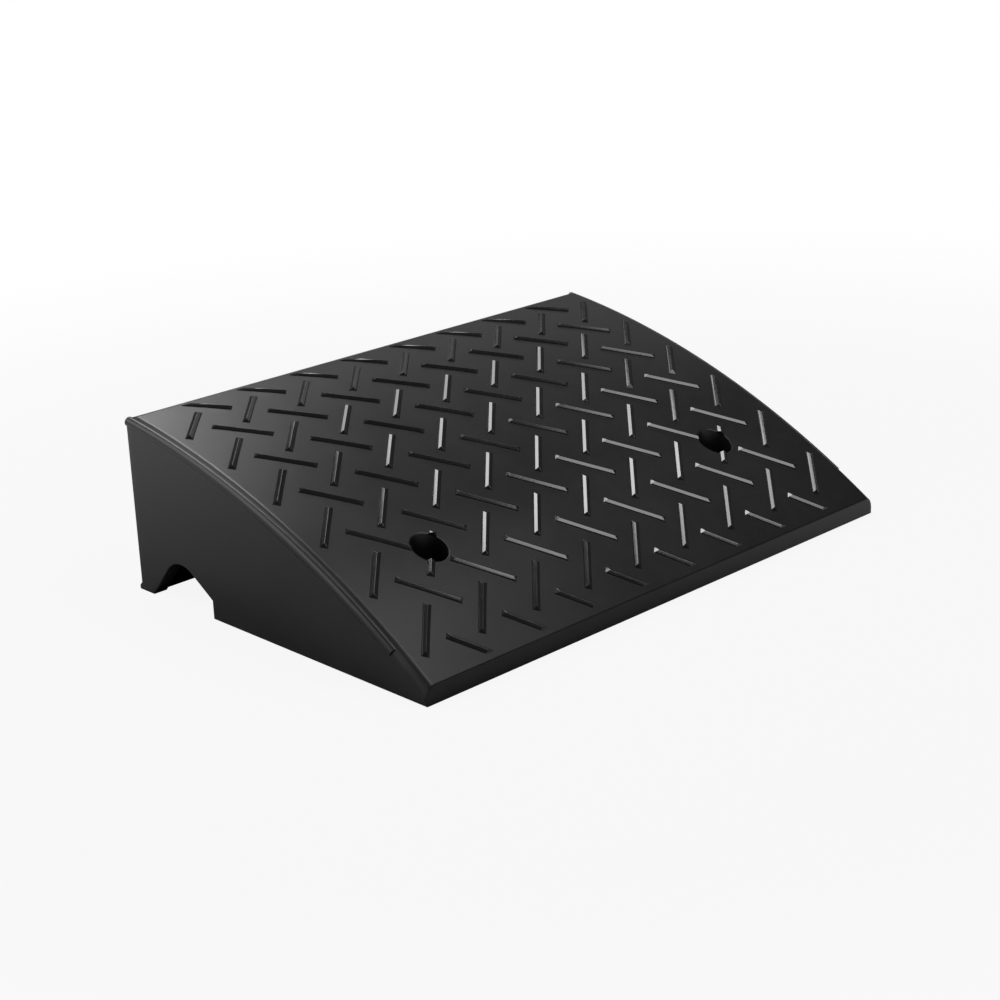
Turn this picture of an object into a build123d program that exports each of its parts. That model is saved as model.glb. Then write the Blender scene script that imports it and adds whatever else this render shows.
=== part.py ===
from build123d import *
import os
from math import acos, atan2, cos, hypot, radians, sin, sqrt, tan

# A rubber kerb ramp, in millimetres. X runs along the kerb, +Y points from the road to the
# kerb, Z is up, and the origin is on the road under the middle of the ramp.

# Overall sizes
width = 500.0  # over the side walls, at the road
depth = 344.0  # front face to the toe at the kerb
height = 143.5  # road to the crown of the deck's back edge
front_lip = 14.5  # height of the front face
deck_radius = 815.0  # arch of the deck from front to back
side_draft = 1.0  # lean of the side walls, in degrees

# Edges of the moulding
edge_round = 7.5  # rounding along the sides and the back of the deck
front_round = 3.0  # rounding of the front face's top edge and corners
bead_radius = 4.0  # eight-sided bead along the rim of each side wall
bead_sides = 8
bead_proud = 1.2  # bead stands this far out of the wall
bead_drop = 5.6  # deck to the middle of the bead
bead_from_front = 35.0
toe_reach = 3.0  # toe along the foot of the back wall
toe_height = 3.5

# Raised tread bars, laid out in plan in two directions
bar_columns = 9
bar_rows = 6
bar_pitch_x = 54.0
bar_pitch_y = 52.0
bar_middle_y = -6.5
bar_length = 48.0  # in plan, at the deck
bar_width = 6.4  # at the deck
bar_height = 2.2
bar_flank = 40.0  # slope of the flanks and ends from upright, in degrees
bar_root = 1.0  # depth of the bars in the deck
bar_angle = 45.0
bar_front_gap = 5.0  # bars stop this far behind the front face
bar_back_gap = 3.0  # bars stop this far in front of the back rounding

# Hollow underside
deck_wall = 14.0
skirt_wall = 12.0
rib_wall = 9.0
solid_nose = 21.0  # solid rubber behind the front face
cell_columns = 9
cell_rows = 6
cell_draft = 2.2  # taper of the cells, in degrees

# Drain arch through the side walls and ribs, beside the kerb
drain_radius = 25.0
drain_crown = 34.5
drain_from_back = 60.5  # toe to the middle of the arch
foot_width = 19.0  # foot of the back wall that stays on the road
shoulder_height = 15.0
shoulder_from_back = 99.0  # toe to the step at the front of the arch

# Bolt holes, with a steel sleeve and a seat washer in each
hole_spacing = 318.0
hole_from_front = 93.0
head_hole_d = 28.0
boss_wall = 8.0  # least rubber round a bolt hole
seat_height = 30.0  # road to the seat of the washer
sleeve_bore_d = 14.0
sleeve_wall = 3.0
washer_gap = 1.0  # washer to the wall of the hole
washer_thickness = 3.0

# Places and sizes that follow
front_y = -depth / 2
toe_y = depth / 2
back_y = toe_y - toe_reach
crown_y = back_y - edge_round
drain_y = toe_y - drain_from_back
drain_z = drain_crown - drain_radius
side_lean = tan(radians(side_draft))
sleeve_outer_d = sleeve_bore_d + 2 * sleeve_wall
washer_d = head_hole_d - 2 * washer_gap
hole_places = {
    "left": Pos(-hole_spacing / 2, front_y + hole_from_front),
    "right": Pos(hole_spacing / 2, front_y + hole_from_front),
}


def arch_centre():
    """Centre of the deck's arch: it starts at the front face and runs into the back rounding."""
    run = crown_y - front_y
    rise = height - edge_round - front_lip
    chord = hypot(run, rise)
    inner_radius = deck_radius - edge_round
    along = (deck_radius**2 - inner_radius**2 + chord**2) / (2 * chord)
    down = sqrt(deck_radius**2 - along**2)
    y = front_y + (along * run + down * rise) / chord
    z = front_lip + (along * rise - down * run) / chord
    return y, z


centre_y, centre_z = arch_centre()


def arch_z(y, drop=0.0):
    """Height at y of the arch that lies drop below the deck."""
    return centre_z + sqrt((deck_radius - drop) ** 2 - (y - centre_y) ** 2)


def across(*edges):
    """Solid over the whole width with the given outline in the YZ plane."""
    outline = make_face((Curve() + list(edges)).edges())
    return extrude(Plane.YZ * outline, amount=width / 2, both=True)


def between_walls():
    """Tall block between the leaning side walls."""
    top = 2 * height
    half = width / 2
    half_top = half - top * side_lean
    outline = Polyline((-half, 0), (half, 0), (half_top, top), (-half_top, top), close=True)
    return extrude(Plane.XZ * make_face(outline), amount=depth, both=True)


def filled_body():
    """Outer form of the moulding, still filled: arched deck with a rounded rim, walls and toe."""
    stops = (front_y, (front_y + back_y) / 2, back_y)
    deck = ThreePointArc(*[(y, arch_z(y)) for y in stops])
    rest = Polyline(
        deck @ 1,
        (back_y, toe_height + toe_reach),
        (toe_y, toe_height),
        (toe_y, 0),
        (front_y, 0),
        deck @ 0,
    )
    block = across(deck, rest) & between_walls()
    top = block.faces().filter_by(GeomType.CYLINDER)[0]
    sides_and_back = top.edges().sort_by(Axis.Y)[1:]
    block = fillet(sides_and_back, edge_round)
    front = block.faces().sort_by(Axis.Y)[0]
    above_road = front.edges().sort_by(Axis.Z)[1:]
    return fillet(above_road, front_round)


def bead(side):
    """Bead along the rim of a side wall, as far as the back wall."""
    inset = bead_radius - bead_proud
    start_y = front_y + bead_from_front
    stops = []
    for y in (start_y, (start_y + back_y) / 2, back_y):
        z = arch_z(y, bead_drop)
        stops.append((side * (width / 2 - inset - z * side_lean), y, z))
    path = ThreePointArc(*stops)
    start = Plane(path @ 0, x_dir=(1, 0, 0), z_dir=path % 0)
    half_side = 180 / bead_sides
    section = RegularPolygon(bead_radius, bead_sides, major_radius=False, rotation=half_side)
    return sweep(start * section, path)


def bar(x, y, turn):
    """One bar across the deck at (x, y): a block with sloping flanks, sunk a little into it."""
    half_x = bar_length / 2 * cos(radians(turn))
    half_y = bar_length / 2 * sin(radians(turn))
    start = Vector(x - half_x, y - half_y, arch_z(y - half_y))
    end = Vector(x + half_x, y + half_y, arch_z(y + half_y))
    middle = (start + end) / 2
    seat = Plane(middle, x_dir=end - start, z_dir=middle - Vector(x, centre_y, centre_z))
    flare = 2 * bar_root * tan(radians(bar_flank))
    foot = Rectangle((end - start).length + flare, bar_width + flare)
    return extrude(seat.offset(-bar_root) * foot, amount=bar_root + bar_height, taper=bar_flank)


def tread():
    """Bars in two directions on the arch of the deck, running out level with its back edge."""
    start_y = front_y + bar_front_gap
    end_y = crown_y - bar_back_gap
    zone = Pos(0, (start_y + end_y) / 2, height / 2) * Box(width, end_y - start_y, height)
    bars = []
    for turn, columns, rows in (
        (bar_angle, bar_columns, bar_rows),
        (-bar_angle, bar_columns - 1, bar_rows + 1),
    ):
        for place in GridLocations(bar_pitch_x, bar_pitch_y, columns, rows):
            spot = place.position
            bars.append(bar(spot.X, spot.Y + bar_middle_y, turn) & zone)
    return bars


def cells():
    """Tapered hollows between the ribs, flat-roofed, with solid rubber left round the bolt holes."""
    start_y = front_y + solid_nose
    end_y = back_y - skirt_wall
    pitch_x = (width - 2 * skirt_wall + rib_wall) / cell_columns
    pitch_y = (end_y - start_y + rib_wall) / cell_rows
    cell_x = pitch_x - rib_wall
    cell_y = pitch_y - rib_wall
    ribs_y = [start_y - rib_wall / 2 + row * pitch_y for row in range(cell_rows + 1)]
    roof_line = [(y, arch_z(y, deck_wall)) for y in ribs_y]
    roof = across(Polyline((ribs_y[0], 0), *roof_line, (ribs_y[-1], 0), close=True))
    cell = extrude(Rectangle(cell_x, cell_y), amount=height, taper=cell_draft)
    near = head_hole_d / 2 + boss_wall
    hollows = []
    middle = Pos(0, (start_y + end_y) / 2)
    for place in GridLocations(pitch_x, pitch_y, cell_columns, cell_rows):
        spot = middle * place
        at_hole = False
        for hole in hole_places.values():
            off = hole.position - spot.position
            if abs(off.X) < cell_x / 2 + near and abs(off.Y) < cell_y / 2 + near:
                at_hole = True
        if not at_hole:
            hollows.append(spot * cell & roof)
    return hollows


def arch_touch(y, z, turn):
    """Point where a line from (y, z) touches the circle of the drain arch."""
    reach = hypot(y - drain_y, z - drain_z)
    angle = atan2(z - drain_z, y - drain_y) + turn * acos(drain_radius / reach)
    return drain_y + drain_radius * cos(angle), drain_z + drain_radius * sin(angle)


def drain():
    """Channel across the whole width: a foot, an arch and a step."""
    foot = (toe_y - foot_width, 0)
    shoulder = (toe_y - shoulder_from_back, shoulder_height)
    rise = arch_touch(*foot, 1)
    fall = arch_touch(*shoulder, -1)
    crown = ThreePointArc(rise, (drain_y, drain_crown), fall)
    rest = Polyline(fall, shoulder, (shoulder[0], 0), foot, rise)
    return across(crown, rest)


def bolt_hole():
    """Hole for the sleeve, opening into a wider one above the seat."""
    upper = extrude(Circle(head_hole_d / 2), amount=height)
    return extrude(Circle(sleeve_outer_d / 2), amount=seat_height) + Pos(0, 0, seat_height) * upper


def ramp_body():
    """The rubber moulding in one piece."""
    body = filled_body() + bead(-1) + bead(1)
    body += tread()
    body -= cells()
    body -= drain()
    return body - [place * bolt_hole() for place in hole_places.values()]


def ring(outer_d, thickness):
    """Steel ring with the bore of the sleeve."""
    return extrude(Circle(outer_d / 2) - Circle(sleeve_bore_d / 2), amount=thickness)


if __name__ == "__main__":
    os.makedirs("parts", exist_ok=True)
    export_step(ramp_body(), "parts/ramp_body.step")
    for side, place in hole_places.items():
        sleeve = place * ring(sleeve_outer_d, seat_height)
        washer = place * Pos(0, 0, seat_height) * ring(washer_d, washer_thickness)
        export_step(sleeve, f"parts/fixing_sleeve_{side}.step")
        export_step(washer, f"parts/seat_washer_{side}.step")
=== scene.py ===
from collections import namedtuple
from math import acos, asin, atan2, copysign, cos, hypot, pi, radians, sin, sqrt, tan

import bmesh
import bpy
from bpy.props import FloatProperty, FloatVectorProperty, IntProperty, PointerProperty
from mathutils import Matrix, Vector


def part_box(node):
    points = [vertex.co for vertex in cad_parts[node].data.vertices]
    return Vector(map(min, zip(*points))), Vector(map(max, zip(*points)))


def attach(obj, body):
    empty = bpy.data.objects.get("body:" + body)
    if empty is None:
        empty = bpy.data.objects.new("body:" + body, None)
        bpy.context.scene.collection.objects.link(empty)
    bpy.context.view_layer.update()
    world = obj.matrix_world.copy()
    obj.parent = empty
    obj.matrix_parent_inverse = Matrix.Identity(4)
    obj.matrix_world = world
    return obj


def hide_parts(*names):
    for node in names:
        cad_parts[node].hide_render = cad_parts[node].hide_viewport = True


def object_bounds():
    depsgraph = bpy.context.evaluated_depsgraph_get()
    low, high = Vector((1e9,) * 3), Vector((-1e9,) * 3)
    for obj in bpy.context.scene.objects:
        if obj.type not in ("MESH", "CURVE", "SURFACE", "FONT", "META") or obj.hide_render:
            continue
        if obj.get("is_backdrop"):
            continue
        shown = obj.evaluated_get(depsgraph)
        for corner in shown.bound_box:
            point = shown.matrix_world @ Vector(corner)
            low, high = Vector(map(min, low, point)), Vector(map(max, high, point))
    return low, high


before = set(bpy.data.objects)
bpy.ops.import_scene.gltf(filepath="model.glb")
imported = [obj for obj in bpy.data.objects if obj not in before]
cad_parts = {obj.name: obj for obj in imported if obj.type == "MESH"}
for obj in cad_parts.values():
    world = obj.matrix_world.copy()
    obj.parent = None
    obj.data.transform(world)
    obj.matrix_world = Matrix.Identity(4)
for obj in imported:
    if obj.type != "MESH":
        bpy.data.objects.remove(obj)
cad_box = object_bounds()
body_low, body_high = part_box("ramp_body")

bl_info = {
    "name": "Rubber kerb ramp",
    "version": (1, 0, 0),
    "blender": (4, 5, 0),
    "location": "View3D > Sidebar > Kerb ramp",
    "description": "Builds a moulded rubber kerb ramp with tread bars, and a white studio for it",
    "category": "Object",
}

ACROSS = Vector((1, 0, 0))
ALONG = Vector((0, 1, 0))
UP = Vector((0, 0, 1))
TINY = 1e-5  # metres; no two edges of the ramp lie closer than this
CUT = 1e-6  # metres; a point that lies closer than this to a cut is on it
SKIN = 1e-4  # metres; an edge that lies closer than this to a surface belongs to it
MARGIN = 0.0035  # metres; cutting blocks reach this far past the walls that they cut
FLOOR_GAP = 1e-4  # metres; the floor lies this far below the ramp
SENSOR_WIDTH = 36  # millimetres
SHARP = radians(35)  # edges that turn by more than this stay sharp in the shading
WORN = radians(50)  # outer edges that turn by more than this wear round

# Facets of the round shapes
DECK_STEPS = 44  # along the arch of the deck
RIM_FACETS = 6  # over the rounding at the sides and the back of the deck
FRONT_FACETS = 4  # over the rounding of the front face's edges
WORN_FACETS = 2  # over a worn edge or the edge of a bar
HOLE_SIDES = 48  # round a bolt hole
DRAIN_STEPS = 16  # along the crown of the drain arch
BEAD_SIDES = 14  # round a bead
BEAD_STEPS = 60  # along a bead
FLOOR_SIDES = 96  # round the floor and its backdrop

# Lamps round the ramp: heading clockwise from the kerb's direction, rise over the floor and roll
# in degrees, reach and size in metres, power in watts
Lamp = namedtuple("Lamp", "heading rise roll reach width height power")
LAMPS = {
    "low_window": Lamp(23.9, 29.7, 2, 2.52, 0.57, 0.31, 1.5),
    "middle_window": Lamp(23.8, 37.7, 2, 2.5, 0.54, 0.39, 3.1),
    "high_window": Lamp(24.9, 47, 2, 2.55, 0.58, 0.43, 5.1),
    "upper_window": Lamp(28.4, 56.5, 2, 2.67, 0.72, 0.48, 9.4),
    "top_window": Lamp(43, 64.3, 2, 2.9, 0.48, 0.5, 5),
    "front": Lamp(160.4, 53.1, 38, 2.51, 1.23, 1.01, 19.5),
    "backdrop": Lamp(54, 28, 0, 3.2, 1.5, 1, 1.6),
    "side": Lamp(110, 66, 0, 2.4, 1, 0.7, 7.3),
    "left_low": Lamp(-52, 27, 0, 2.2, 2, 1.05, 16),
    "left_high": Lamp(-52, 53, 0, 2.2, 2, 1.05, 16),
}


def metres(name, description, size):
    """Length that a user may change."""
    return FloatProperty(
        name=name, description=description, default=size, unit="LENGTH", subtype="DISTANCE", precision=5
    )


def degrees(name, description, angle):
    """Angle that a user may change, with its default in degrees."""
    return FloatProperty(
        name=name, description=description, default=radians(angle), unit="ROTATION", subtype="ANGLE"
    )


def colour(name, description, shade):
    """Colour that a user may change."""
    return FloatVectorProperty(
        name=name, description=description, default=shade, subtype="COLOR", min=0, max=1, size=3
    )


def share(name, description, value):
    """Value from 0 to 1 that a user may change."""
    return FloatProperty(
        name=name, description=description, default=value, min=0, max=1, subtype="FACTOR"
    )


def count(name, description, number):
    """Number of like things in a row that a user may change."""
    return IntProperty(name=name, description=description, default=number, min=2)


class RampSizes(bpy.types.PropertyGroup):
    """Sizes of the ramp, of its tread and of its hollow underside."""

    width: metres("Width", "Over the side walls at the road", 0.5)
    depth: metres("Depth", "Front face to the toe at the kerb", body_high.y - body_low.y)
    height: metres("Height", "Road to the crown of the back edge", body_high.z - body_low.z)
    front_lip: metres("Front lip", "Height of the front face", 0.0145)
    deck_radius: metres("Deck radius", "Arch of the deck from front to back", 0.815)
    side_draft: degrees("Side draft", "Lean of the side walls", 1)

    edge_round: metres("Edge round", "Rounding along the sides and the back of the deck", 0.0075)
    front_round: metres("Front round", "Rounding of the front face's top edge and corners", 0.003)
    bead_radius: metres("Bead radius", "Bead along the rim of each side wall", 0.004)
    bead_proud: metres("Bead proud", "How far the bead stands out of the wall", 0.0012)
    bead_drop: metres("Bead drop", "Deck to the middle of the bead", 0.0056)
    bead_from_front: metres("Bead start", "Front face to the end of the bead", 0.035)
    toe_reach: metres("Toe reach", "Toe along the foot of the back wall", 0.003)
    toe_height: metres("Toe height", "Height of that toe", 0.0035)
    worn_edge: metres("Worn edge", "Rounding of the walls' sharp edges", 0.0009)

    bar_columns: count("Bar columns", "Rising bars across", 9)
    bar_rows: count("Bar rows", "Rising bars from front to back", 6)
    bar_pitch_x: metres("Bar pitch across", "Bar to bar along the kerb", 0.054)
    bar_pitch_y: metres("Bar pitch along", "Bar to bar from front to back", 0.052)
    bar_middle: metres("Bar middle", "Middle of the tread, from the middle of the ramp", -0.0065)
    bar_length: metres("Bar length", "Seen from above, at the deck", 0.048)
    bar_width: metres("Bar width", "At the deck", 0.0064)
    bar_height: metres("Bar height", "Deck to the ridge of a bar", 0.0022)
    bar_shoulder: metres("Bar shoulder", "Deck to the foot of a bar's hipped top", 0.0009)
    bar_flank: degrees("Bar flank", "Slope of the flanks and ends from upright", 40)
    bar_root: metres("Bar root", "Depth of the bars in the deck", 0.001)
    bar_round: metres("Bar round", "Rounding of the bars' edges", 0.0002)
    bar_angle: degrees("Bar angle", "Turn of the bars, seen from above", 45)
    bar_front_gap: metres("Bar front gap", "Front face to the first bars", 0.005)
    bar_back_gap: metres("Bar back gap", "Last bars to the back rounding", 0.003)

    deck_wall: metres("Deck wall", "Rubber over the cells", 0.014)
    skirt_wall: metres("Skirt wall", "Side and back walls", 0.012)
    rib_wall: metres("Rib wall", "Ribs at the road", 0.009)
    solid_nose: metres("Solid nose", "Rubber behind the front face", 0.021)
    cell_columns: count("Cell columns", "Cells across", 9)
    cell_rows: count("Cell rows", "Cells from front to back", 6)
    cell_draft: degrees("Cell draft", "Taper of the cells", 2.2)

    drain_radius: metres("Drain radius", "Crown of the drain arch", 0.025)
    drain_crown: metres("Drain crown", "Road to the top of the drain arch", 0.0345)
    drain_from_back: metres("Drain place", "Toe to the middle of the arch", 0.0605)
    foot_width: metres("Foot", "Foot of the back wall on the road", 0.019)
    shoulder_height: metres("Shoulder height", "Step at the front of the arch", 0.015)
    shoulder_from_back: metres("Shoulder place", "Toe to that step", 0.099)

    hole_spacing: metres("Hole spacing", "Between the bolt holes", 0.318)
    hole_from_front: metres("Hole place", "Front face to the bolt holes", 0.093)
    head_hole: metres("Head hole", "Diameter above the seat", 0.028)
    sleeve_hole: metres("Sleeve hole", "Diameter below the seat", 0.02)
    seat_height: metres("Seat height", "Road to the seat of the washer", 0.03)
    boss_wall: metres("Boss wall", "Least rubber round a bolt hole", 0.008)


class RampFinish(bpy.types.PropertyGroup):
    """Colours and patterns of the rubber and the steel."""

    rubber: colour("Rubber", "Moulded black rubber", (0.0043, 0.0043, 0.0046))
    bloom: colour("Bloom", "Grey bloom on the rubber", (0.015, 0.015, 0.0156))
    roughness: share("Roughness", "Least roughness of the rubber", 0.3)
    shine: share("Shine", "Specular level of the rubber", 0.38)
    worn_roughness: share("Worn roughness", "Least roughness of the bars, polished by wheels", 0.1)
    worn_shine: share("Worn shine", "Specular level of the bars", 0.6)
    relief: share("Relief", "Strength of the rubber's fine grain", 0.12)
    worn_relief: share("Worn relief", "Strength of the grain that is left on the bars", 0.05)
    relief_depth: metres("Relief depth", "Depth of that grain", 0.0006)
    cloud_size: metres("Cloud size", "Wide clouds of bloom on the rubber", 0.12)
    mottle_size: metres("Mottle size", "Small spots of bloom on the rubber", 0.012)
    grain_size: metres("Grain size", "Fine grain of the rubber", 0.0009)
    zinc: colour("Zinc", "Dull plate on the steel", (0.5, 0.5, 0.51))
    zinc_stain: colour("Zinc stain", "Darker stains on the plate", (0.22, 0.21, 0.2))
    stain_size: metres("Stain size", "Stains on the plate", 0.006)
    spangle_size: metres("Spangle size", "Uneven spots of the plate", 0.0015)
    spangle_depth: metres("Spangle depth", "Depth of those spots", 0.0003)


class StudioSettings(bpy.types.PropertyGroup):
    """Camera, floor and light."""

    camera_place: FloatVectorProperty(
        name="Camera place", description="Where the camera stands", default=(-1.0725, -1.1489, 0.593),
        subtype="TRANSLATION", unit="LENGTH",
    )
    camera_heading: degrees("Camera heading", "Turn of the view from the kerb's direction", -42.67)
    camera_dip: degrees("Camera dip", "View below the horizon", 19.265)
    camera_roll: degrees("Camera roll", "Turn of the picture", -3.035)
    camera_lens: FloatProperty(
        name="Lens", description="Focal length in millimetres on a 36 mm sensor", default=73.888,
        unit="CAMERA",
    )
    floor: colour("Floor", "Plain grey floor under the white", (0.35, 0.35, 0.35))
    floor_shadow: share("Floor shadow", "Part of the floor's own shading that shows near the ramp", 0.1)
    floor_near: metres("Shadow reach", "Distance at which the floor's shading starts to fade", 0.5)
    floor_far: metres("White reach", "Distance past which the floor is plain white", 1.4)
    mirror_left: metres("Mirrored shade place", "How far left the mirrored floor is darkest", 0.2)
    mirror_near: metres("Mirrored shade reach", "Distance from there at which it starts to fade", 0.15)
    mirror_far: metres("Mirrored white reach", "Distance from there past which it is white", 0.85)
    wall_radius: metres("Wall radius", "Floor's middle to the round backdrop", 7.0)
    wall_height: metres("Wall height", "Height of the round backdrop", 0.5)
    world_light: share("World light", "Strength of the light from all round", 0.1)


class RampForm:
    """Places that follow from the sizes, and the arch that the deck lies on."""

    def __init__(self, sizes):
        self.sizes = sizes
        self.half = sizes.width / 2
        self.front = -sizes.depth / 2
        self.toe = sizes.depth / 2
        self.back = self.toe - sizes.toe_reach
        self.crown = self.back - sizes.edge_round
        self.lean = tan(sizes.side_draft)
        self.holes = [
            Vector((side * sizes.hole_spacing / 2, self.front + sizes.hole_from_front, 0))
            for side in (-1, 1)
        ]
        self.radius = sizes.deck_radius
        self.centre = self.arch_centre()

    def arch_centre(self):
        """Centre of the deck's arch, which starts at the front face and runs into the back rounding."""
        sizes = self.sizes
        run = self.crown - self.front
        rise = sizes.height - sizes.edge_round - sizes.front_lip
        chord = hypot(run, rise)
        inner = self.radius - sizes.edge_round
        along = (self.radius**2 - inner**2 + chord**2) / (2 * chord)
        down = sqrt(self.radius**2 - along**2)
        y = self.front + (along * run + down * rise) / chord
        z = sizes.front_lip + (along * rise - down * run) / chord
        return Vector((0, y, z))

    def deck_z(self, y, drop=0.0):
        """Height at y of the arch that lies drop below the deck."""
        return self.centre.z + sqrt((self.radius - drop) ** 2 - (y - self.centre.y) ** 2)

    def turn_at(self, y, drop=0.0):
        """Angle from upright at which that arch passes y."""
        return asin((y - self.centre.y) / (self.radius - drop))

    def lean_in(self, verts):
        """Leans points towards the middle as the side walls do."""
        for vert in verts:
            vert.co.x *= 1 - self.lean * vert.co.z / self.half


class Outline:
    """Closed outline in a plane across the ramp, drawn with lines and arcs and pulled to a block."""

    def __init__(self, half, y, z):
        self.bm = bmesh.new()
        self.half = half
        self.first = self.last = self.bm.verts.new((-half, y, z))

    def line(self, y, z):
        """Straight stretch from the last point."""
        point = self.bm.verts.new((-self.half, y, z))
        self.bm.edges.new((self.last, point))
        self.last = point

    def arc(self, centre_y, centre_z, angle, steps):
        """Arc from the last point; a positive angle turns from +Y to +Z."""
        swept = bmesh.ops.spin(
            self.bm, geom=[self.last], cent=(0, centre_y, centre_z), axis=ACROSS,
            angle=angle, steps=steps,
        )
        self.last = next(part for part in swept["geom_last"] if isinstance(part, bmesh.types.BMVert))

    def block(self):
        """Closed block from one side of the outline to the other."""
        self.bm.edges.new((self.last, self.first))
        bm = self.bm
        face = bmesh.ops.contextual_create(bm, geom=bm.edges[:])["faces"]
        pulled = bmesh.ops.extrude_face_region(bm, geom=face)["geom"]
        far = [part for part in pulled if isinstance(part, bmesh.types.BMVert)]
        bmesh.ops.translate(bm, verts=far, vec=ACROSS * 2 * self.half)
        return bm


def add_box(bm, low, high):
    """Box between two corners; returns its points."""
    place = Matrix.Translation((low + high) / 2) @ Matrix.Diagonal((*(high - low), 1))
    return bmesh.ops.create_cube(bm, size=1, matrix=place)["verts"]


def add_cylinder(bm, centre, radius, low, high, segments):
    """Upright closed cylinder."""
    place = Matrix.Translation(centre + UP * (low + high) / 2)
    bmesh.ops.create_cone(
        bm, cap_ends=True, segments=segments, radius1=radius, radius2=radius,
        depth=high - low, matrix=place,
    )


def slice_mesh(bm, axis, places):
    """Cuts a mesh along planes square to an axis and keeps all of it."""
    for place in places:
        parts = bm.verts[:] + bm.edges[:] + bm.faces[:]
        bmesh.ops.bisect_plane(bm, geom=parts, dist=CUT, plane_co=axis * place, plane_no=axis)


def trim_mesh(bm, axis, place):
    """Cuts off what lies beyond a plane, along its axis, and closes the cut."""
    parts = bm.verts[:] + bm.edges[:] + bm.faces[:]
    bmesh.ops.bisect_plane(
        bm, geom=parts, dist=CUT, plane_co=axis * place, plane_no=axis, clear_outer=True
    )
    rims = [edge for edge in bm.edges if edge.is_boundary]
    bmesh.ops.holes_fill(bm, edges=rims, sides=0)


def round_edges(bm, edges, radius, segments):
    """Rounds edges of a mesh."""
    bmesh.ops.bevel(
        bm, geom=edges, offset=radius, offset_type="OFFSET", segments=segments, profile=0.5,
        affect="EDGES", material=-1, clamp_overlap=False,
    )


def steps_between(start, end, parts):
    """Evenly spaced places between two ends, without the ends."""
    return [start + (end - start) * step / parts for step in range(1, parts)]


def new_piece(name, bm):
    """Object in the scene that takes over a mesh."""
    bmesh.ops.recalc_face_normals(bm, faces=bm.faces[:])
    mesh = bpy.data.meshes.new(name)
    bm.to_mesh(mesh)
    bm.free()
    piece = bpy.data.objects.new(name, mesh)
    bpy.context.scene.collection.objects.link(piece)
    return piece


def settle(piece):
    """Turns a piece's modifiers into plain mesh."""
    graph = bpy.context.evaluated_depsgraph_get()
    made = bpy.data.meshes.new_from_object(piece.evaluated_get(graph))
    piece.modifiers.clear()
    piece.data = made


def combine(piece, operation, tool):
    """Joins a tool to a piece or cuts it out of it, then drops the tool."""
    step = piece.modifiers.new(operation, "BOOLEAN")
    step.operation = operation
    step.solver = "EXACT"
    step.object = tool
    settle(piece)
    bpy.data.objects.remove(tool)


def dress(piece, material):
    """Finishes a piece of the moulding: smooth shading up to sharp edges, rubber, and its place."""
    piece.data.shade_smooth()
    piece.data.set_sharp_from_angle(angle=SHARP)
    piece.modifiers.new("normals", "WEIGHTED_NORMAL").keep_sharp = True
    piece.data.materials.clear()
    piece.data.materials.append(material)
    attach(piece, "root")
    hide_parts("ramp_body")


def roll_edges(piece, wanted, radius, segments):
    """Rounds the wanted edges of a piece to one radius, whatever the angle at each of them."""
    bm = bmesh.new()
    bm.from_mesh(piece.data)
    layers = bm.edges.layers.float
    weight = layers.get("bevel_weight_edge") or layers.new("bevel_weight_edge")
    bm.normal_update()
    for edge in bm.edges:
        edge[weight] = radius * tan(edge.calc_face_angle() / 2) if wanted(edge) else 0
    widest = max(edge[weight] for edge in bm.edges)
    for edge in bm.edges:
        edge[weight] /= widest
    bm.to_mesh(piece.data)
    bm.free()
    rounding = piece.modifiers.new("rounding", "BEVEL")
    rounding.limit_method = "WEIGHT"
    rounding.width = widest
    rounding.segments = segments
    rounding.use_clamp_overlap = False
    settle(piece)


def is_rim(edge):
    """Whether an edge lies between the deck and a side or back wall."""
    normals = [face.normal for face in edge.link_faces]
    at_deck = any(normal.z > 0.5 for normal in normals)
    at_wall = any(abs(normal.z) < 0.1 and normal.y > -0.5 for normal in normals)
    return at_deck and at_wall


def is_front(edge):
    """Whether an edge bounds the front face above the road."""
    at_road = max(vert.co.z for vert in edge.verts) < TINY
    return not at_road and any(face.normal.y < -0.99 for face in edge.link_faces)


def body_block(form):
    """Outer form, still filled: a box raised to the arch of the deck, with a rounded rim."""
    sizes = form.sizes
    start = form.front - sizes.edge_round
    bm = bmesh.new()
    add_box(bm, Vector((-form.half, start, 0)), Vector((form.half, form.back, sizes.height)))
    slice_mesh(bm, ALONG, steps_between(start, form.back, DECK_STEPS))
    for hole in form.holes:
        reach = sizes.head_hole / 2 + sizes.edge_round
        slice_mesh(bm, ACROSS, [hole.x - reach, hole.x + reach])
    for vert in bm.verts:
        if vert.co.z > TINY:
            vert.co.z = form.deck_z(vert.co.y)
    body = new_piece("ramp_shell", bm)
    roll_edges(body, is_rim, sizes.edge_round, RIM_FACETS)
    bm = bmesh.new()
    bm.from_mesh(body.data)
    trim_mesh(bm, -ALONG, -form.front)
    form.lean_in(bm.verts)
    bm.to_mesh(body.data)
    bm.free()
    roll_edges(body, is_front, sizes.front_round, FRONT_FACETS)
    return body


def toe_block(form):
    """Toe along the foot of the back wall."""
    sizes = form.sizes
    inside = form.back - sizes.toe_reach
    top = sizes.toe_height + sizes.toe_reach
    outline = Outline(form.half, inside, 0)
    outline.line(inside, top)
    outline.line(form.back, top)
    outline.line(form.toe, sizes.toe_height)
    outline.line(form.toe, 0)
    bm = outline.block()
    form.lean_in(bm.verts)
    return bm


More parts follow.
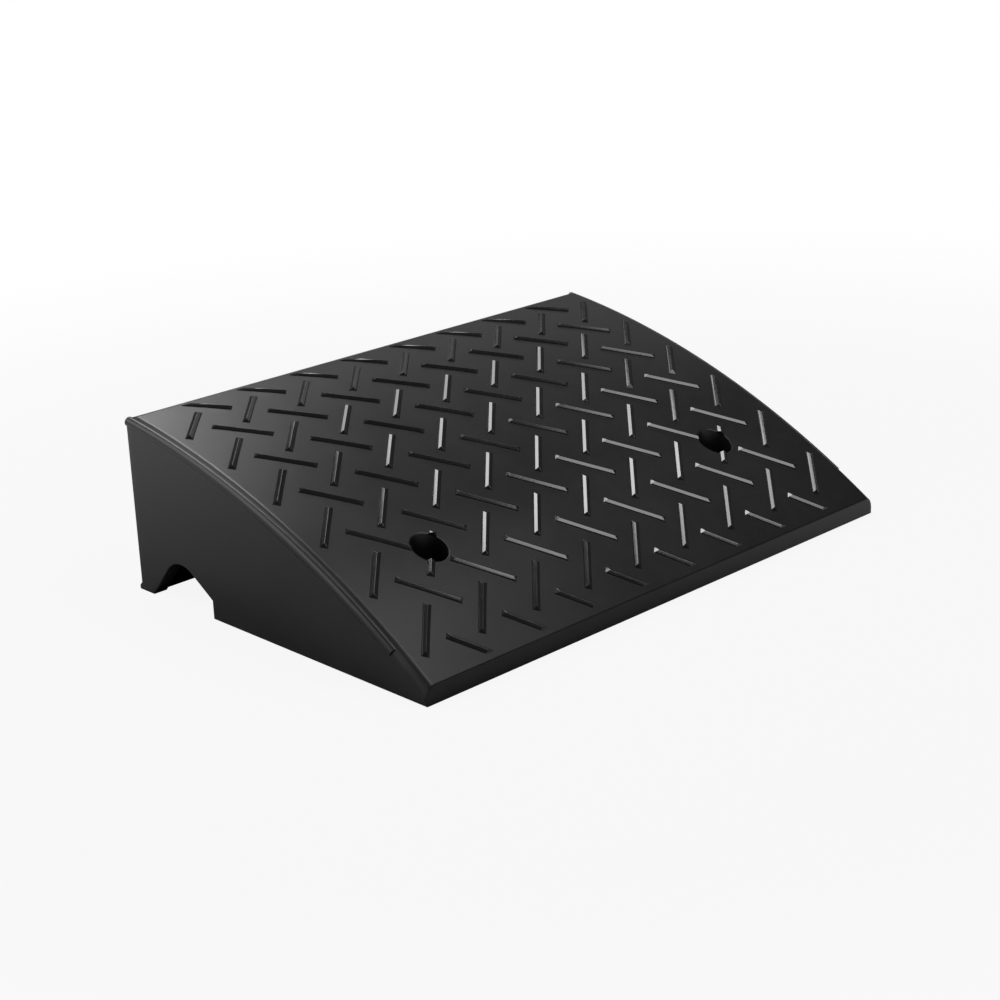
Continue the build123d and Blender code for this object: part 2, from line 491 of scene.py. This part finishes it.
def cell_blocks(form):
    """Tapered hollows between the ribs; cells beside a bolt hole stay filled."""
    sizes = form.sizes
    start = form.front + sizes.solid_nose
    end = form.back - sizes.skirt_wall
    first = sizes.skirt_wall - form.half
    pitch = Vector((
        (sizes.width - 2 * sizes.skirt_wall + sizes.rib_wall) / sizes.cell_columns,
        (end - start + sizes.rib_wall) / sizes.cell_rows,
        0,
    ))
    mouth = pitch - Vector((sizes.rib_wall, sizes.rib_wall, 0))
    near = sizes.head_hole / 2 + sizes.boss_wall
    below = UP * MARGIN
    bm = bmesh.new()
    for column in range(sizes.cell_columns):
        for row in range(sizes.cell_rows):
            corner = Vector((first + column * pitch.x, start + row * pitch.y, 0))
            middle = corner + mouth / 2
            offs = [hole - middle for hole in form.holes]
            if any(abs(o.x) < mouth.x / 2 + near and abs(o.y) < mouth.y / 2 + near for o in offs):
                continue
            ribs = (corner.y - sizes.rib_wall / 2, corner.y + mouth.y + sizes.rib_wall / 2)
            roof = [form.deck_z(rib, sizes.deck_wall) for rib in ribs]
            for vert in add_box(bm, corner - below, corner + mouth + UP * sizes.height):
                if vert.co.z > 0:
                    vert.co.z = roof[0] + (roof[1] - roof[0]) * (vert.co.y - ribs[0]) / pitch.y
                taper = tan(sizes.cell_draft) * vert.co.z
                vert.co.x += copysign(taper, middle.x - vert.co.x)
                vert.co.y += copysign(taper, middle.y - vert.co.y)
    return bm


def drain_block(form):
    """Drain channel across the whole width: a foot, an arch and a step."""
    sizes = form.sizes
    centre_y = form.toe - sizes.drain_from_back
    centre_z = sizes.drain_crown - sizes.drain_radius
    foot_y = form.toe - sizes.foot_width
    step_y = form.toe - sizes.shoulder_from_back

    def touch_angle(y, z, side):
        """Angle on the circle at which a line from (y, z) touches it."""
        reach = hypot(y - centre_y, z - centre_z)
        return atan2(z - centre_z, y - centre_y) + side * acos(sizes.drain_radius / reach)

    rise = touch_angle(foot_y, 0, 1)
    fall = touch_angle(step_y, sizes.shoulder_height, -1)
    outline = Outline(form.half + MARGIN, foot_y, -TINY)
    outline.line(foot_y, 0)
    outline.line(centre_y + sizes.drain_radius * cos(rise), centre_z + sizes.drain_radius * sin(rise))
    outline.arc(centre_y, centre_z, fall - rise, DRAIN_STEPS)
    outline.line(step_y, sizes.shoulder_height)
    outline.line(step_y, -TINY)
    return outline.block()


def hole_blocks(form, below_seat):
    """Bolt holes: the wide part above the seat, with or without the sleeve's part below it."""
    sizes = form.sizes
    bm = bmesh.new()
    for hole in form.holes:
        add_cylinder(bm, hole, sizes.head_hole / 2, sizes.seat_height, sizes.height, HOLE_SIDES)
    if below_seat:
        for hole in form.holes:
            add_cylinder(bm, hole, sizes.sleeve_hole / 2, -TINY, sizes.seat_height + TINY, HOLE_SIDES)
    return bm


def wear_edges(form, bm):
    """Rounds the sharp outer edges of the walls, the drain arch and the mouths of the bolt holes."""
    sizes = form.sizes
    worn = []
    for edge in bm.edges:
        if len(edge.link_faces) != 2 or not edge.is_convex:
            continue
        if edge.calc_face_angle() < WORN:
            continue
        middle = (edge.verts[0].co + edge.verts[1].co) / 2
        wall = form.half - form.lean * middle.z
        outside = abs(middle.x) > wall - SKIN or middle.y > form.back - SKIN
        reaches = [(middle - hole).xy.length - sizes.head_hole / 2 for hole in form.holes]
        at_hole = any(abs(reach) < SKIN for reach in reaches)
        if outside or (at_hole and middle.z > sizes.seat_height + sizes.edge_round):
            worn.append(edge)
    round_edges(bm, worn, sizes.worn_edge, WORN_FACETS)


class KERB_OT_shell(bpy.types.Operator):
    """Model the moulded shell: deck, walls, toe, drain arch and the ribbed hollow underside"""

    bl_idname = "kerb_ramp.shell"
    bl_label = "Moulded shell"

    def execute(self, context):
        form = RampForm(context.scene.ramp_sizes)
        shell = body_block(form)
        combine(shell, "UNION", new_piece("toe", toe_block(form)))
        combine(shell, "DIFFERENCE", new_piece("cells", cell_blocks(form)))
        combine(shell, "DIFFERENCE", new_piece("drain", drain_block(form)))
        combine(shell, "DIFFERENCE", new_piece("holes", hole_blocks(form, below_seat=True)))
        bm = bmesh.new()
        bm.from_mesh(shell.data)
        bmesh.ops.remove_doubles(bm, verts=bm.verts[:], dist=TINY)
        wear_edges(form, bm)
        bm.to_mesh(shell.data)
        bm.free()
        dress(shell, rubber_material(context.scene.ramp_finish))
        return {"FINISHED"}


class KERB_OT_beads(bpy.types.Operator):
    """Model the round bead along the rim of each side wall"""

    bl_idname = "kerb_ramp.beads"
    bl_label = "Edge beads"

    def execute(self, context):
        form = RampForm(context.scene.ramp_sizes)
        sizes = form.sizes
        bm = bmesh.new()
        drop = sizes.bead_drop
        start = form.turn_at(form.front + sizes.bead_from_front, drop)
        end = form.turn_at(form.back, drop)
        for side in (-1, 1):
            x = side * (form.half + sizes.bead_proud - sizes.bead_radius)
            place = Matrix.Translation((x, form.centre.y, form.centre.z))
            place @= Matrix.Rotation(-start, 4, ACROSS)
            place @= Matrix.Translation((0, 0, form.radius - drop))
            place @= Matrix.Rotation(pi / 2, 4, ACROSS)
            circle = bmesh.ops.create_circle(
                bm, segments=BEAD_SIDES, radius=sizes.bead_radius, matrix=place
            )
            ring = circle["verts"]
            loop = {edge for vert in ring for edge in vert.link_edges}
            bmesh.ops.spin(
                bm, geom=list(loop) + ring, cent=form.centre, axis=ACROSS,
                angle=start - end, steps=BEAD_STEPS,
            )
        bmesh.ops.holes_fill(bm, edges=[edge for edge in bm.edges if edge.is_boundary], sides=0)
        form.lean_in(bm.verts)
        beads = new_piece("edge_beads", bm)
        dress(beads, rubber_material(context.scene.ramp_finish))
        return {"FINISHED"}


class KERB_OT_tread(bpy.types.Operator):
    """Model the raised tread bars that cross on the deck"""

    bl_idname = "kerb_ramp.tread"
    bl_label = "Tread bars"

    def bar(self, sizes):
        """One bar along X on a flat deck: sloping flanks, a hipped top and rounded edges."""
        bm = bmesh.new()
        slope = tan(sizes.bar_flank)
        half = Vector((sizes.bar_length / 2, sizes.bar_width / 2, 0))
        for vert in add_box(bm, -half - UP * sizes.bar_root, half + UP * sizes.bar_shoulder):
            vert.co.x -= copysign(slope, vert.co.x) * vert.co.z
            vert.co.y -= copysign(slope, vert.co.y) * vert.co.z
        top = [edge for edge in bm.edges if min(vert.co.z for vert in edge.verts) > 0]
        ends = [edge for edge in top if edge.calc_length() < sizes.bar_width]
        middles = bmesh.ops.subdivide_edges(bm, edges=ends, cuts=1)["geom_inner"]
        for vert in middles:
            if isinstance(vert, bmesh.types.BMVert):
                vert.co.x -= copysign(sizes.bar_width / 2 - slope * sizes.bar_shoulder, vert.co.x)
                vert.co.z = sizes.bar_height
        upper = [edge for edge in bm.edges if max(vert.co.z for vert in edge.verts) > 0]
        round_edges(bm, upper, sizes.bar_round, WORN_FACETS)
        mesh = bpy.data.meshes.new("bar")
        bm.to_mesh(mesh)
        bm.free()
        return mesh

    def seat(self, form, x, y, turn):
        """Seat of a bar on the arch, stretched so that it keeps its length seen from above."""
        reach = Matrix.Rotation(turn, 3, UP) @ ACROSS * form.sizes.bar_length / 2
        ends = [Vector((x, y, 0)) + side * reach for side in (-1, 1)]
        for end in ends:
            end.z = form.deck_z(end.y)
        middle = (ends[0] + ends[1]) / 2
        run = ends[1] - ends[0]
        stretch = run.length / form.sizes.bar_length
        along = run.normalized()
        rise = Vector((0, middle.y - form.centre.y, middle.z - form.centre.z)).normalized()
        turned = Matrix((along, rise.cross(along), rise)).transposed().to_4x4()
        return Matrix.Translation(middle) @ turned @ Matrix.Diagonal((stretch, 1, 1, 1))

    def seats(self, form):
        """Seats of the bars that rise to the right and of those that fall, seen from above."""
        sizes = form.sizes
        for turn, columns, rows in (
            (sizes.bar_angle, sizes.bar_columns, sizes.bar_rows),
            (-sizes.bar_angle, sizes.bar_columns - 1, sizes.bar_rows + 1),
        ):
            for column in range(columns):
                for row in range(rows):
                    x = (column - (columns - 1) / 2) * sizes.bar_pitch_x
                    y = (row - (rows - 1) / 2) * sizes.bar_pitch_y + sizes.bar_middle
                    yield self.seat(form, x, y, turn)

    def execute(self, context):
        form = RampForm(context.scene.ramp_sizes)
        sizes = form.sizes
        bar = self.bar(sizes)
        bm = bmesh.new()
        for seat in self.seats(form):
            bm.from_mesh(bar)
            bm.verts.ensure_lookup_table()
            bmesh.ops.transform(bm, matrix=seat, verts=bm.verts[-len(bar.vertices):])
        bpy.data.meshes.remove(bar)
        trim_mesh(bm, -ALONG, -(form.front + sizes.bar_front_gap))
        trim_mesh(bm, ALONG, form.crown - sizes.bar_back_gap)
        trim_mesh(bm, UP, sizes.height - TINY)
        bars = new_piece("tread_bars", bm)
        combine(bars, "DIFFERENCE", new_piece("holes", hole_blocks(form, below_seat=False)))
        dress(bars, rubber_material(context.scene.ramp_finish, worn=True))
        return {"FINISHED"}


class KERB_OT_inserts(bpy.types.Operator):
    """Finish the steel sleeves and seat washers in the bolt holes"""

    bl_idname = "kerb_ramp.inserts"
    bl_label = "Steel inserts"

    def execute(self, context):
        steel = steel_material(context.scene.ramp_finish)
        for name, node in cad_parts.items():
            if name != "ramp_body":
                node.data.materials.clear()
                node.data.materials.append(steel)
        return {"FINISHED"}


class KERB_OT_stage(bpy.types.Operator):
    """Set up the white floor, the studio light and the camera"""

    bl_idname = "kerb_ramp.stage"
    bl_label = "Studio"

    def lamp(self, name, lamp, aim):
        """Soft flat light that faces a point."""
        light = bpy.data.lights.new(name, "AREA")
        light.shape = "RECTANGLE"
        light.size, light.size_y = lamp.width, lamp.height
        light.energy = lamp.power
        away = Matrix.Rotation(-radians(lamp.heading), 3, UP)
        away @= Matrix.Rotation(radians(lamp.rise), 3, ACROSS)
        made = bpy.data.objects.new(name, light)
        made.location = aim + away @ ALONG * lamp.reach
        face = (away @ -ALONG).to_track_quat("-Z", "Y").to_matrix()
        made.rotation_euler = (face @ Matrix.Rotation(radians(lamp.roll), 3, UP)).to_euler()
        made.visible_camera = False
        bpy.context.scene.collection.objects.link(made)

    def camera(self, studio):
        """Camera that the scene is seen through."""
        data = bpy.data.cameras.new("camera")
        data.sensor_width = SENSOR_WIDTH
        data.lens = studio.camera_lens
        camera = bpy.data.objects.new("camera", data)
        turn = Matrix.Rotation(studio.camera_heading, 3, UP)
        turn @= Matrix.Rotation(pi / 2 - studio.camera_dip, 3, ACROSS)
        turn @= Matrix.Rotation(studio.camera_roll, 3, UP)
        camera.location = studio.camera_place
        camera.rotation_euler = turn.to_euler()
        bpy.context.scene.collection.objects.link(camera)
        bpy.context.scene.camera = camera

    def execute(self, context):
        studio = context.scene.ramp_studio
        bm = bmesh.new()
        under = Matrix.Translation(-UP * FLOOR_GAP)
        bmesh.ops.create_circle(
            bm, cap_ends=True, segments=FLOOR_SIDES, radius=studio.wall_radius, matrix=under
        )
        edges = [edge for edge in bm.edges if edge.is_boundary]
        wall = bmesh.ops.extrude_edge_only(bm, edges=edges)["geom"]
        raised = [part for part in wall if isinstance(part, bmesh.types.BMVert)]
        bmesh.ops.translate(bm, verts=raised, vec=UP * studio.wall_height)
        floor = new_piece("floor", bm)
        floor.data.materials.append(floor_material(studio))
        floor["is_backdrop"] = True
        light_world(context.scene, studio)
        for name, lamp in LAMPS.items():
            self.lamp(name, lamp, UP * context.scene.ramp_sizes.height / 2)
        self.camera(studio)
        context.scene.view_settings.view_transform = "Standard"
        return {"FINISHED"}


class Shade:
    """One output of a material's nodes; arithmetic on it adds Math nodes."""

    def __init__(self, tree, socket=None):
        self.tree = tree
        self.socket = socket

    def node(self, kind, settings=None, inputs=None, output=0):
        """New node of a type: its settings first, then the values or links of its sockets."""
        made = self.tree.nodes.new(kind)
        for name, value in (settings or {}).items():
            setattr(made, name, value)
        for name, value in (inputs or {}).items():
            if isinstance(value, Shade):
                self.tree.links.new(value.socket, made.inputs[name])
            else:
                made.inputs[name].default_value = value
        return Shade(self.tree, made.outputs[output] if made.outputs else None)

    def maths(self, operation, first, second):
        """Math node on two values."""
        return self.node("ShaderNodeMath", {"operation": operation}, {0: first, 1: second})

    def __add__(self, other):
        return self.maths("ADD", self, other)

    __radd__ = __add__

    def __sub__(self, other):
        return self.maths("SUBTRACT", self, other)

    def __rsub__(self, other):
        return self.maths("SUBTRACT", other, self)

    def __mul__(self, other):
        return self.maths("MULTIPLY", self, other)

    __rmul__ = __mul__

    def noise(self, size, detail=3.0, roughness=0.55):
        """Cloudy pattern with clouds of about that size, read at these coordinates."""
        return self.node(
            "ShaderNodeTexNoise",
            inputs={"Vector": self, "Scale": 1 / size, "Detail": detail, "Roughness": roughness},
        )

    def between(self, low, high):
        """Smooth step from 0 at low to 1 at high."""
        return self.node(
            "ShaderNodeMapRange", {"interpolation_type": "SMOOTHSTEP"},
            {"Value": self, "From Min": low, "From Max": high},
        )

    def distance(self, point):
        """Distance of these coordinates from a point."""
        return self.node(
            "ShaderNodeVectorMath", {"operation": "DISTANCE"}, {0: self, 1: point}, output="Value"
        )

    def ray(self, kind):
        """1 for rays of that kind, such as those that come straight from the camera."""
        return self.node("ShaderNodeLightPath", output=kind)

    def mix(self, first, second):
        """Mixes two colours by this value."""
        return self.node(
            "ShaderNodeMix", {"data_type": "RGBA"}, {0: self, 6: first, 7: second}, output=2
        )


def new_material(name):
    """Empty material and the start of its nodes."""
    material = bpy.data.materials.new(name)
    material.use_nodes = True
    material.node_tree.nodes.clear()
    return material, Shade(material.node_tree)


def surface(material, shader):
    """Sends a shader to the material's output."""
    Shade(material.node_tree).node("ShaderNodeOutputMaterial", inputs={"Surface": shader})


def rubber_material(finish, worn=False):
    """Black rubber with cloudy bloom and fine grain, satin as moulded or polished by wheels."""
    name = "worn_rubber" if worn else "ramp_rubber"
    found = bpy.data.materials.get(name)
    if found:
        return found
    material, start = new_material(name)
    place = start.node("ShaderNodeTexCoord", output="Object")
    clouds = place.noise(finish.cloud_size, 4)
    mottle = place.noise(finish.mottle_size, 3)
    grain = place.noise(finish.grain_size, 2)
    bloom = clouds.between(0.35, 0.75) * 0.35 + mottle.between(0.45, 0.8) * 0.15
    base = bloom.mix((*finish.rubber, 1), (*finish.bloom, 1))
    least = finish.worn_roughness if worn else finish.roughness
    shine = finish.worn_shine if worn else finish.shine
    strength = finish.worn_relief if worn else finish.relief
    roughness = least + clouds.between(0.3, 0.8) * 0.05 + mottle * 0.04
    relief = grain * 0.35 + mottle * 0.65
    bump = start.node(
        "ShaderNodeBump",
        inputs={"Height": relief, "Strength": strength, "Distance": finish.relief_depth},
    )
    shader = start.node(
        "ShaderNodeBsdfPrincipled",
        inputs={
            "Base Color": base, "Roughness": roughness, "Specular IOR Level": shine, "Normal": bump,
        },
    )
    surface(material, shader)
    return material


def steel_material(finish):
    """Dull zinc-plated steel with darker stains."""
    material, start = new_material("insert_steel")
    place = start.node("ShaderNodeTexCoord", output="Object")
    stain = place.noise(finish.stain_size, 4).between(0.4, 0.75)
    spangle = place.noise(finish.spangle_size, 2)
    base = stain.mix((*finish.zinc, 1), (*finish.zinc_stain, 1))
    roughness = 0.38 + stain * 0.2
    metallic = 1 - stain * 0.3
    bump = start.node(
        "ShaderNodeBump",
        inputs={"Height": spangle, "Strength": 0.15, "Distance": finish.spangle_depth},
    )
    shader = start.node(
        "ShaderNodeBsdfPrincipled",
        inputs={"Base Color": base, "Roughness": roughness, "Metallic": metallic, "Normal": bump},
    )
    surface(material, shader)
    return material


def floor_material(studio):
    """Grey floor that shows as white: near the ramp its shadow shows, and reflections see the grey."""
    material, start = new_material("studio_floor")
    place = start.node("ShaderNodeTexCoord", output="Object")
    reach = place.distance((0, 0, 0))
    mirror_reach = place.distance((-studio.mirror_left, 0, 0))
    plain = start.node("ShaderNodeBsdfDiffuse", inputs={"Color": (*studio.floor, 1)})
    white = start.node("ShaderNodeEmission", inputs={"Color": (1, 1, 1, 1), "Strength": 1.0})
    fading = reach.between(studio.floor_near, studio.floor_far) * studio.floor_shadow
    direct = start.ray("Is Camera Ray") + start.ray("Is Transmission Ray")
    seen = (1 - studio.floor_shadow + fading) * direct
    mirrored = mirror_reach.between(studio.mirror_near, studio.mirror_far) * start.ray("Is Glossy Ray")
    shader = start.node("ShaderNodeMixShader", inputs={0: seen + mirrored, 1: plain, 2: white})
    surface(material, shader)
    return material


def light_world(scene, studio):
    """Even grey light from all round."""
    world = bpy.data.worlds.new("studio")
    world.use_nodes = True
    world.node_tree.nodes.clear()
    scene.world = world
    start = Shade(world.node_tree)
    sky = start.node(
        "ShaderNodeBackground", inputs={"Color": (1, 1, 1, 1), "Strength": studio.world_light}
    )
    start.node("ShaderNodeOutputWorld", inputs={"Surface": sky})


class KERB_PT_panel(bpy.types.Panel):
    """Sizes, finish and the steps that build the ramp"""

    bl_label = "Kerb ramp"
    bl_idname = "KERB_PT_panel"
    bl_space_type = "VIEW_3D"
    bl_region_type = "UI"
    bl_category = "Kerb ramp"

    def draw(self, context):
        scene = context.scene
        for step in OPERATORS:
            self.layout.operator(step.bl_idname)
        for group in (scene.ramp_sizes, scene.ramp_finish, scene.ramp_studio):
            box = self.layout.box()
            for name in group.__annotations__:
                box.prop(group, name)


GROUPS = {"ramp_sizes": RampSizes, "ramp_finish": RampFinish, "ramp_studio": StudioSettings}
OPERATORS = (KERB_OT_shell, KERB_OT_beads, KERB_OT_tread, KERB_OT_inserts, KERB_OT_stage)


def register():
    for kind in (*GROUPS.values(), *OPERATORS, KERB_PT_panel):
        bpy.utils.register_class(kind)
    for name, group in GROUPS.items():
        setattr(bpy.types.Scene, name, PointerProperty(type=group))


def unregister():
    for name in GROUPS:
        delattr(bpy.types.Scene, name)
    for kind in (KERB_PT_panel, *OPERATORS, *GROUPS.values()):
        bpy.utils.unregister_class(kind)


def main():
    register()
    bpy.ops.kerb_ramp.shell()
    bpy.ops.kerb_ramp.beads()
    bpy.ops.kerb_ramp.tread()
    bpy.ops.kerb_ramp.inserts()
    bpy.ops.kerb_ramp.stage()
    boxes = {"cad": cad_box, "visual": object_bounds()}
    {name: [list(corner) for corner in box] for name, box in boxes.items()}


if __name__ == "__main__":
    main()
